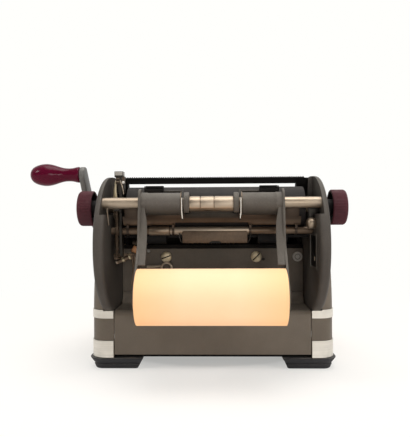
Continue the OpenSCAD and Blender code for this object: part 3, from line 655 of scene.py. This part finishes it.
# Cross rods and what sits on them
lathe("cross_rod", (150.4, 143), rod_outline(-91.4, 91.4, ROD_R + 0.6, 0.3), "bright_steel", "case",
      stands_for=("paper_rod",), n=64)
lathe("spacer", SPACER_C, rod_outline(-18, 18, 6, 0.2), "steel", "case", stands_for=("rod_collars",), n=64)
for k, (x0, x1) in enumerate(((9.3, 18), (-1.9, 8.5), (-18, -2.7))):
    bm = bmesh.new()
    add_prism(bm, [polar(SPACER_C, r, a) for r, turn in ((6.5, range(-32, 193, 5)), (5.95, range(192, -33, -6)))
                   for a in turn], x0, x1)
    piece("tab_%d" % k, bm, "bright_steel", "case", bevel=0.25, segments=3)


def rod_rings(side, word):
    lathe("collar_" + word, ROD_C, ring_outline(18.1, 22.6, 8.4, 4.02, 0.6), "cheek_paint", "case", n=80, side=side,
          merge=0.001)
    lathe("washer_" + word, ROD_C, ring_outline(24.45, 24.95, 8.9, 4.06, 0.1), "steel", "case", n=80, side=side,
          merge=0.001)


both(rod_rings)
lathe("feed_rod", FEED_C, rod_outline(-87, 87, 3.1, 0.3), "bronze_steel", "case", stands_for=("feed_shaft",), n=56)
# The brighter steel sleeve on the middle of the feed rod is painted light, standing for the highlight along the rod's
# middle.
for name, x0, x1, r, chamfer, material in (
        ("feed_sleeve", 36, 53, 3.9, 0.4, "steel"), ("feed_collar", 78.6, 82.4, 3.9, 0.4, "steel"),
        ("feed_mid", -33, 35, 3.4, 0.14, "bright_steel")):
    lathe(name, FEED_C, ring_outline(x0, x1, r, 3.12, chamfer), material, "case", n=56, merge=0.001)
# Strips that carry the pans up round the platen; the middle ones are near-black dark steel, painted shade below the
# tabs.
for k, (x0, x1, low, top, material) in enumerate((
        (22.6, 60.5, -25, -13, "pan_metal_shaded"), (-60.5, -22.6, -25, -13, "pan_metal_shaded"), (60.5, 73, -25, 14, "pan_metal_shaded"),
        (-73, -60.5, -25, 14, "pan_metal_shaded"), (-22.4, 22.4, -25, -14, "dark_steel"),
        (-17.6, 17.6, -14, 14, "dark_steel"))):
    turns = [low + (top - low) * i / 8 for i in range(9)]
    prism("pan_upper_%d" % k, [polar(PLATEN_C, r, a) for r, way in ((20.45, 1), (19.8, -1)) for a in turns[::way]],
          x0, x1, material, "case", bevel=0.1)
for side in (-1, 1):
    bm = bmesh.new()
    add_box(bm, (side * 47.7 - 7.5, 136.8, 156.45), (side * 47.7 + 7.5, 143.2, 157.6))
    add_box(bm, (side * 55.9 - 0.4, 138.8, 151.6), (side * 55.9 + 0.4, 142.6, 157.4))
    piece("roller_cap_%d" % (side + 1), bm, "black_and_painted_shade", "case", bevel=0.5)
    tail = [(side * x, y, z) for x, y, z in ((23.8, 160.1, 147), (23.8, 160.3, 140), (23.7, 160.2, 134.6),
                                              (23.2, 159.6, 130.2))]
    wire("finger_tail_%d" % (side + 1), tail, 0.45, "band_metal", "case")


# Platen and its knobs
lathe("platen_roll", PLATEN_C, ring_outline(-79, 72.5, PLATEN_R, 4.02, 1.0), "platen_rubber", "platen",
      stands_for=("platen",), n=160, merge=0.001)


def knob(side, word):
    """Ribbed knob, hollow and black towards the case, on a plain dark hub."""
    bm = bmesh.new()
    x0, x1, r = KNOB_IN, KNOB_OUT, KNOB_R
    ribs, groove = 72, 0.42
    outline = [(7.2, x0 + 8), (r - 2.2, x0 + 8), (r - 2.2, x0 + 0.4), (r - 1.9, x0), (r - 0.6, x0),
               (r - 0.15, x0 + 0.5), (r, x0 + 1.1), (r, x1 - 2.4), (r - 0.35, x1 - 1.2), (r - 1.1, x1 - 0.4),
               (r - 2.2, x1), (r - 4.6, x1), (r - 5.2, x1 - 0.6), (6.4, x1 - 0.7), (5.8, x1 - 0.2),
               (5.2, x1 - 0.2), (4.9, x1 - 0.9), (0, x1 - 0.9)]
    rings = add_lathe(bm, PLATEN_C, outline, 4 * ribs, side)
    for ring in rings[5:8]:
        for i, v in enumerate(ring):
            if i % 4 in (0, 1):
                away = Vector((0, v.co.y - PLATEN_C[0], v.co.z - PLATEN_C[1]))
                v.co -= away.normalized() * groove
    piece("knob_" + word, bm, "knob_plastic", "platen", stands_for=("platen_knobs",) if side > 0 else (), sharp=60)
    hollow = [(7.1, x0 + 7.9), (7.1, x0 + 7.7), (r - 2.35, x0 + 7.7), (r - 2.35, x0 + 0.9), (r - 2.22, x0 + 0.7),
              (r - 2.22, x0 + 7.9), (7.1, x0 + 7.9)]
    lathe("knob_hollow_" + word, PLATEN_C, hollow, "dark_rubber", "platen", side=side, merge=0.001)
    lathe("knob_hub_" + word, PLATEN_C, ring_outline(94.4, 111.6, 7, 4.02, 0.5), "dark_rubber", "platen", n=72,
          side=side, merge=0.001)
    lathe("shaft_end_" + word, PLATEN_C, rod_outline(84, 112.8, 4, 0.3), "steel", "platen", n=48, side=side)
    screw = [(0, x1 - 0.85), (3.4, x1 - 0.85), (3.3, x1 - 0.45), (2.6, x1 - 0.15), (0, x1 - 0.1)]
    lathe("grub_screw_" + word, PLATEN_C, screw, "brass", "platen", n=40, side=side)


both(knob)


# Crank
lathe("grip", GRIP_C, [(0, 119.0), (6.6, 119.0), (7.1, 119.5), (7.12, 120.4), (6.8, 122.2), (6.1, 125), (5.85, 128),
                       (5.95, 131.2), (6.35, 133.8), (6.95, 136.2), (7.7, 138.6), (8.5, 141), (9.2, 143.4),
                       (9.7, 145.8), (9.97, 148.2), (9.97, 150.4), (9.7, 152.8), (9.2, 155.1), (8.55, 157.2),
                       (7.7, 159.1), (6.6, 160.8), (5.2, 162.1), (3.6, 163), (1.8, 163.4), (0, 163.5)],
      "grip_plastic", "crank_grip", stands_for=("crank_grip",), n=128, sharp=60)


def crank_arm():
    """Tapered arm with rounded edges, a boss on the shaft and a washer under the grip."""
    bm = bmesh.new()
    way = Vector((GRIP_C[0] - CRANK_C[0], GRIP_C[1] - CRANK_C[1])).normalized()
    base = math.degrees(math.atan2(way.y, way.x))
    pts = [polar(GRIP_C, 7, base + a) for a in range(-90, 91, 7)]
    pts += [polar(CRANK_C, 10, base + a) for a in range(90, 271, 7)]
    add_prism(bm, pts, 113.6, 118.6)
    # Below bend_end the arm comes in towards the case by jog, over bend_len.
    bend_end, bend_len, jog = 48, 32, 5.6
    for far in range(bend_end - bend_len, bend_end + 1, 8):
        spot = Vector(CRANK_C) + way * far
        bmesh.ops.bisect_plane(bm, geom=bm.verts[:] + bm.edges[:] + bm.faces[:], plane_co=(0, spot.x, spot.y),
                               plane_no=(0, way.x, way.y))
    for v in bm.verts:
        along = (Vector((v.co.y, v.co.z)) - Vector(CRANK_C)).dot(way)
        t = max(0, min(1, (bend_end - along) / bend_len))
        v.co.x -= jog * t * t * (3 - 2 * t)
    piece("arm_plate", bm, "crank_grey", "crank", stands_for=("crank_arm",), bevel=1.1, segments=3, sharp=60)
    lathe("arm_boss", CRANK_C, ring_outline(106.5, 108.4, 9, 5.02, 0.5), "crank_grey", "crank", merge=0.001)
    lathe("arm_cap", CRANK_C, [(0, 112.8), (6.2, 112.8), (6.2, 114.2), (5.4, 114.9), (0, 115.2)], "steel", "crank")


crank_arm()


# Slotted screws and the plug on the back plate
def add_turned_y(bm, c, outline, n=48):
    """A body turned about the front-to-rear axis through c = (x, z) from [radius, y] points."""
    skin(bm, [[bm.verts.new((x, y, z)) for x, z in (circle(c, r, n) if r else [c])] for r, y in outline])


def slotted_head(name, x, turn):
    """Brass screw head with its slot as a dark strip that follows the dome: painted shade in place of a cut slot."""
    r, z = SCREW_R, SCREW_Z
    bm = bmesh.new()
    profile = [(r, 0), (r, 1.2), (r - 0.25, 1.7), (r * 0.72, 2.25), (r * 0.38, 2.5), (0, 2.58)]
    add_turned_y(bm, (x, z), [(q, BACK_Y + h) for q, h in profile])
    piece(name, bm, "brass", "case", stands_for=("back_plate_screws",))
    c, s = math.cos(turn), math.sin(turn)
    bm = bmesh.new()
    high = []
    level = profile[::-1]
    for k in range(17):
        u = -r * 0.985 + r * 1.97 * k / 16
        for (qa, ha), (qb, hb) in zip(level, level[1:]):
            if qa <= abs(u) <= qb and qb > qa:
                h = ha + (hb - ha) * (abs(u) - qa) / (qb - qa) + 0.06
        high.append([bm.verts.new((x + u * c - v * s, BACK_Y + h, z + u * s + v * c)) for v in (-0.6, 0.6)])
    for a, b in zip(high, high[1:]):
        bm.faces.new((a[0], b[0], b[1], a[1]))
    piece(name + "_slot", bm, "seam_dark", "case")


slotted_head("screw_right", SCREW_X[0], math.radians(-20))
slotted_head("screw_left", SCREW_X[1], math.radians(-45))


def y_disc(name, x, z, r, y0, y1, material, body="case", dome=0.2, hole=0.0):
    """A short round piece whose axis runs from front to rear."""
    bm = bmesh.new()
    outline = [(r, y0), (r, y1 - dome), (r - dome, y1)]
    if hole:
        outline += [(hole + dome / 2, y1), (hole, y1 - dome / 2), (hole, y0)]
    else:
        outline += [(0.001, y1 + 0.001)]
    add_turned_y(bm, (x, z), outline)
    return piece(name, bm, material, body)


y_disc("plug_head", -79.4, SCREW_Z, 4.6, BACK_Y, BACK_Y + 1.6, "zinc", dome=0.5)
y_disc("plug_ring", -79.4, SCREW_Z, 2.8, BACK_Y + 1.55, BACK_Y + 1.85, "crank_grey", dome=0.2, hole=2)
# A dark disc on the plate: painted shade in place of a small hole.
y_disc("small_hole", -47.8, 91.6, 1.3, BACK_Y, BACK_Y + 0.06, "seam_dark", dome=0.02)


# Small parts behind the platen that the photo shows
def add_plate_y(bm, points, y0, y1):
    """An [x, z] outline stretched from front to rear."""
    add_ends(bm, [(x, y0, z) for x, z in points], [(x, y1, z) for x, z in points])


def plate_y(name, points, y0, y1, material, body="case", bevel=0.25):
    bm = bmesh.new()
    add_plate_y(bm, points, y0, y1)
    return piece(name, bm, material, body, bevel=bevel)


plate_y("stud_bracket", [(-79.4, 140.4), (-89.2, 140.4), (-89.2, 134), (-84.9, 133), (-84.9, 126), (-81, 126)],
        143.4, 145.2, "dark_steel")
prism("slot_frame", [(131, 88.4), (158, 88.4), (158, 117.4), (131, 117.4)], -84.98, -84.2, "cheek_paint", "case",
      bevel=0.2)
# The slot in the cheek is a near-black sheet: its dark is painted shade.
prism("cheek_slot", [(135, 90.4), (155, 90.4), (155, 115.6), (135, 115.6)], -84.4, -84.1, "black_and_painted_shade", "case",
      bevel=0.05)
wire("slot_rail", [(-83.7, 153, 95.4), (-83.7, 153, 97), (-83.7, 153, 98.8)], 0.35, "bright_steel", "case")
wire("slot_edge", [(-83.9, 133.6, 89.5), (-83.9, 133.6, 103), (-83.9, 133.6, 118)], 0.5, "crank_grey", "case")
wire("eyelet", [(x, 90.8, z) for x, z in (polar((43, 83.8), 4.8, a) for a in range(0, 360, 10))], 1.3,
     "bright_steel", "case", closed=True)
block("eyelet_foot", (40.4, BACK_Y, 77.4), (45.6, 91.2, 79.6), "steel", "case")
wire("eyelet_rod", [(61.4, 92, 85), (56, 92, 85.2), (48.4, 92, 85.8)], 1.3, "bright_steel", "case")
y_disc("plate_screw", 60, 99.7, 1.5, BACK_Y, BACK_Y + 1.5, "zinc", dome=0.4)
for name, start, end, r, material in (
        ("link_tube", (81.2, 130, 93), (71.4, 130, 97.3), 2.0, "bronze_steel"),
        ("link_tip", (82.7, 130.2, 92.3), (81.2, 130, 93), 1.6, "bright_steel"),
        ("link_band", (77.2, 130, 94.75), (75.6, 130, 95.45), 2.35, "brass"),
        ("link_ring", (71.6, 130, 97.2), (70.3, 130, 97.8), 2.8, "brass")):
    wire(name, [start, end], r, material, "case", sides=20)
y_disc("anchor_screw", 81.9, 104.4, 1.4, 129.4, 131, "zinc", dome=0.5)
block("anchor_block", (63.6, 124.6, 100.4), (69.6, 128.4, 106.4), "copper", "case", bevel=1.2, segments=3,
      turn=Matrix.Rotation(math.radians(-28), 3, "Y"))
for k, x in enumerate((69.2, 66.8)):
    wire("anchor_leg_%d" % k, [(x, 130.2, 98.2), (x - 0.8, 130.4, 92), (x - 1.9, 130.4, 84)], 0.85, "bronze_steel",
         "case")
wire("cheek_wire", [(84.3, 158.4, 138.6), (84.2, 155, 131), (84.2, 152.2, 125.4), (84.2, 153.2, 125.2),
                    (84.2, 156.4, 131.2), (84.2, 159.4, 137.4)], 0.4, "bright_steel", "case")
plate_y("gauge_strip", [(84.9, 147.4), (84.7, 153), (83.9, 158.2), (82.6, 163.8), (81.5, 163.4), (81.9, 158),
                        (81.7, 153), (81.2, 147.6)], 130.2, 131.6, "brass")
block("lever_pad", (74.5, 132.1, 166.4), (81.8, 140.95, 170.3), "zinc", "release_lever", bevel=0.9, segments=3)
block("lever_head", (73.4, 133.4, 159.6), (80.9, 139.6, 166.4), "bronze_dark", "release_lever", bevel=0.8)
block("lever_block", (73.6, 134, 151.6), (79.4, 138.8, 160.4), "dark_steel", "release_lever", bevel=0.6)
for k in range(5):
    block("lever_tooth_%d" % k, (74.4 + 0.3 * k, 139.4, 160.1 + 1.25 * k), (80.9 - 0.2 * k, 140.2, 160.8 + 1.25 * k),
          "steel" if k % 2 else "dark_steel", "release_lever", bevel=0.12)
plate_y("lever_cheek", [(80.4, 156.6), (80.9, 161.8), (80.9, 165.4), (80, 165.2), (78.6, 157), (78.8, 151.4),
                        (80, 151.4)], 132.2, 133.6, "bronze_dark", "release_lever")
y_disc("lever_pin", 74.3, 160.9, 1.2, 139.4, 140.9, "band_metal", "release_lever", dome=0.4)
wire("lever_wire", [(77, 140.1, 163.2), (75.6, 140.6, 158.8), (74.6, 140.4, 154.8), (74.1, 139.9, 151)], 0.45,
     "bright_steel", "release_lever")
bm = bmesh.new()
add_plate_y(bm, [(x - 2.6, z + 114.6) for x, z in rounded_rect(54.8, 10.2, 1.6)], 136.6, 141.5)
add_box(bm, (-29.4, 131.6, 117.2), (24.2, 137, 119.6))
piece("feed_channel", bm, "bronze_dark", "case", stands_for=("feed_bracket",), bevel=0.35)
for side, word, x in ((1, "right", 24.8), (-1, "left", -30)):
    hook = [(x + side * 2.2, 139.4, 117.8), (x + side * 2.3, 139.7, 114.6), (x + side * 1.4, 140.1, 111.4),
            (x - side * 0.4, 140.2, 109.6)]
    wire("bracket_hook_" + word, hook, 0.55, "dark_steel", "case")
lathe("stud_body", STUD_C, [(0, -85.3), (3.9, -85.3), (3.9, -82.6), (4.1, -82.3), (0, -82.3)], "bronze_steel", "case",
      stands_for=("guide_stud",), n=48)
lathe("stud_head", STUD_C, [(0, -84.6), (3.8, -84.6), (4.4, -83.8), (4.7, -82.4), (4.7, -80.6), (4.3, -79.2),
                            (3.3, -78.2), (1.7, -77.6), (0, -77.5)], "bright_steel", "case", n=48)
# A dark sheet on the bracket: painted shade in place of a notch.
plate_y("bracket_notch", [(-8.4, 109.4), (2.4, 109.4), (1.4, 110.6), (-0.2, 111.2), (-5.8, 111.2), (-7.4, 110.6)],
        141.4, 141.62, "seam_dark", bevel=0)


def tension_spring():
    """A coil spring on a vertical line, with a hook at each end."""
    foot, top = Vector((79.9, 141.4, 98.4)), Vector((79.9, 141.4, 135.6))
    r, turns, steps = 1.35, 34, 10
    n = turns * steps
    pts = [foot + Vector((0, 0, -1.2)), foot + Vector((0, r * 0.6, -0.7))]
    pts += [foot + Vector((r * math.cos(2 * math.pi * k / steps), r * math.sin(2 * math.pi * k / steps),
                           (top.z - foot.z) * k / n)) for k in range(n + 1)]
    pts += [top + Vector((0, r * 0.6, 0.7)), top + Vector((0, 0, 1.2))]
    wire("tension_spring", pts, 0.3, "bronze_steel", "case", sides=6, stands_for=("lever_spring",))


tension_spring()
# A near-black strip over the back plate's top edge and the gap above it: painted shade.
block("plate_top_painted_shade", (-84.4, BACK_Y - 1.2, 101.7), (84.4, BACK_Y + 0.12, 105.6), "black_and_painted_shade", "case", bevel=0.1)


# Keyboard
def on_deck(bm, u, v):
    """Moves a bmesh from a key's own frame onto the sloping deck."""
    turn = Matrix.Rotation(DECK_TILT, 4, "X")
    place = Matrix.Translation((u, DECK_MID[0], DECK_MID[1])) @ turn @ Matrix.Translation((0, v, 0))
    bmesh.ops.transform(bm, matrix=place, verts=bm.verts)


def key_cap(name, u, v, w, material, marks):
    """A dished cap on a steel stem, with its mark on top."""
    side, top_z = KEY_SIDE, 13.66
    levels = [(7.9, 1.1), (7.9, 0.2), (7.6, 0.05), (7.7, 0), (8.4, 0.02), (12.6, 1.38), (13.2, 1.62), (13.55, 2.0),
              (top_z, 2.5)]
    bm = bmesh.new()
    rings = [[bm.verts.new((x, y, h)) for x, y in rounded_rect(w - 2 * d, side - 2 * d, max(3 - d * 0.6, 1.2))]
             for h, d in levels]
    top = rounded_rect(w - 5, side - 5, 1.5)
    rings += [[bm.verts.new((x * f, y * f, top_z - 0.75 * (1 - f * f))) for x, y in top]
              for f in (0.85, 0.68, 0.5, 0.3)]
    skin(bm, rings, flip=True)
    bm.faces.new(rings[0])
    bm.faces.new(rings[-1])
    on_deck(bm, u, v)
    piece(name + "_cap", bm, material, name, stands_for=(name,), sharp=50)
    bm = bmesh.new()
    for h0, h1, r in ((-26, 7.9, 2.2), (-5.8, -4.2, 3.7)):
        made = bmesh.ops.create_cone(bm, cap_ends=True, segments=32, radius1=r, radius2=r, depth=h1 - h0)
        bmesh.ops.translate(bm, vec=(0, 0, (h0 + h1) / 2), verts=made["verts"])
    on_deck(bm, u, v)
    piece(name + "_stem", bm, "steel", name, sharp=50)
    marks(name, u, v)


def digit_mark(text):
    """The mark of a digit key: a filled figure lying just over the dish."""
    def build(name, u, v):
        curve = bpy.data.curves.new("figure", "FONT")
        curve.body, curve.size, curve.align_x, curve.align_y, curve.extrude = text, 8.6, "CENTER", "CENTER", 0.12
        spare = add_object("figure", curve)
        figure = finished_mesh(spare)
        bm = bmesh.new()
        bm.from_mesh(figure)
        bpy.data.objects.remove(spare)
        bpy.data.meshes.remove(figure)
        bmesh.ops.translate(bm, vec=(0, 0, 13.06), verts=bm.verts)
        on_deck(bm, u, v)
        piece(name + "_figure", bm, "legend", name)
    return build


def bar_mark(*bars):
    """Plain bars [x, y, width, height] as the mark of a function key."""
    def build(name, u, v):
        bm = bmesh.new()
        for x, y, w, h in bars:
            add_box(bm, (x - w / 2, y - h / 2, 12.9), (x + w / 2, y + h / 2, 13.2))
        on_deck(bm, u, v)
        piece(name + "_mark", bm, "legend", name)
    return build


for k in range(10):
    place = (6, -38) if k == 0 else (6 + ((k - 1) % 3 - 1) * KEY_PITCH, (-17, 3, 23)[(k - 1) // 3])
    key_cap("key_%d" % k, *place, 37.7 if k == 0 else KEY_SIDE, "key_plastic", digit_mark(str(k)))
for name, u, v, bars in (("key_total", 58, 23, [(0, 0, 5.4, 1.1), (0, 0, 1.1, 5.4)]),
                         ("key_subtotal", 58, 3, [(-1.7, 0, 1.1, 5), (1.7, 0, 1.1, 5)]),
                         ("key_subtract", 58, -17, [(0, 0, 5.4, 1.1)]),
                         ("key_repeat", -46, 3, [(0, 1.7, 5, 1.1), (0, -1.7, 5, 1.1)])):
    key_cap(name, u, v, KEY_SIDE, "key_dark", bar_mark(*bars))


# Light and floor
def area_lamp(name, place, aim, size, power):
    data = bpy.data.lights.new(name, "AREA")
    data.shape, data.size, data.energy, data.color = "SQUARE", size, power, WARM
    lamp = add_object(name, data)
    lamp.location = place
    lamp.rotation_euler = (Vector(aim) - Vector(place)).to_track_quat("-Z", "Y").to_euler()


area_lamp("overhead", (-0.1, 0.25, 1.7), (0, 0.05, 0), 1.2, 23.5)
area_lamp("right_front", (-1.15, 1.35, 0.95), (0, 0.1, 0.1), 0.9, 13.0)
area_lamp("left_front", (1.12, 0.74, 0.85), (0, 0.1, 0.12), 0.25, 4.5)
area_lamp("low_front", (-0.3, 2.2, 0.3), (0, 0.1, 0.0), 0.5, 7.2)

world = bpy.data.worlds.new("room")
bpy.context.scene.world = world
wt = empty_tree(world)
# A white sweep behind the machine and over it, and a dimmer room on the camera's side.
ray = node(wt, "ShaderNodeTexCoord").outputs["Generated"]
back = spread(wt, axis_of(wt, ray, "Y"), 0.6, -0.6, 0.12, 0.85)
over = spread(wt, axis_of(wt, ray, "Z"), 0.6, 0.98, 0.0, 0.35)
room = node(wt, "ShaderNodeBackground", Color=(*WARM, 1))
wt.links.new(math_node(wt, "MAXIMUM", back, over), room.inputs["Strength"])
# The plain white backdrop that the camera sees, and that metal shows where the sweep is.
shown = node(wt, "ShaderNodeBackground", Color=(1.0, 1.0, 0.975, 1), Strength=1.0)
rays = node(wt, "ShaderNodeLightPath").outputs
sweep = spread(wt, axis_of(wt, ray, "Y"), 0.2, -0.4)
mirrored = math_node(wt, "MULTIPLY", rays["Is Glossy Ray"], sweep)
seen = math_node(wt, "MAXIMUM", rays["Is Camera Ray"],
                 math_node(wt, "MAXIMUM", rays["Is Transmission Ray"], mirrored))
wt.links.new(mix_shaders(wt, seen, room, shown), node(wt, "ShaderNodeOutputWorld").inputs[0])

bm = bmesh.new()
bmesh.ops.create_grid(bm, x_segments=1, y_segments=1, size=12)
mesh = mesh_of("floor", bm)
floor = add_object("floor", mesh)
floor.location.z = -0.0002
# White paper that keeps the machine's shadow and runs out into the plain backdrop; the shadow is lightened by a painted
# glow, as rays from the camera and gloss see at least 0.4 plain white on it, rising to all white far off.
fm = bpy.data.materials.new("floor_white")
ft = empty_tree(fm)
paper_bsdf = node(ft, "ShaderNodeBsdfDiffuse", Color=(0.87, 0.825, 0.79, 1))
far = node(ft, "ShaderNodeEmission", Color=(1.0, 1.0, 0.975, 1), Strength=1.0)
reach = node(ft, "ShaderNodeVectorMath", _operation="LENGTH")
ft.links.new(node(ft, "ShaderNodeTexCoord").outputs["Object"], reach.inputs[0])
rays = node(ft, "ShaderNodeLightPath").outputs
seen = math_node(ft, "MAXIMUM", rays["Is Camera Ray"],
                 math_node(ft, "MAXIMUM", rays["Is Glossy Ray"], rays["Is Transmission Ray"]))
# Painted light: near the machine 0.4 of the floor glows white, which lightens its shadow.
away = math_node(ft, "POWER", spread(ft, reach.outputs["Value"], 0.118, 0.5), 0.5)
share = math_node(ft, "MULTIPLY", seen, spread(ft, away, 0.0, 1.0, 0.4, 1.0))
ft.links.new(mix_shaders(ft, share, paper_bsdf, far), node(ft, "ShaderNodeOutputMaterial").inputs[0])
mesh.materials.append(fm)

bpy.context.scene.view_settings.view_transform = "Standard"
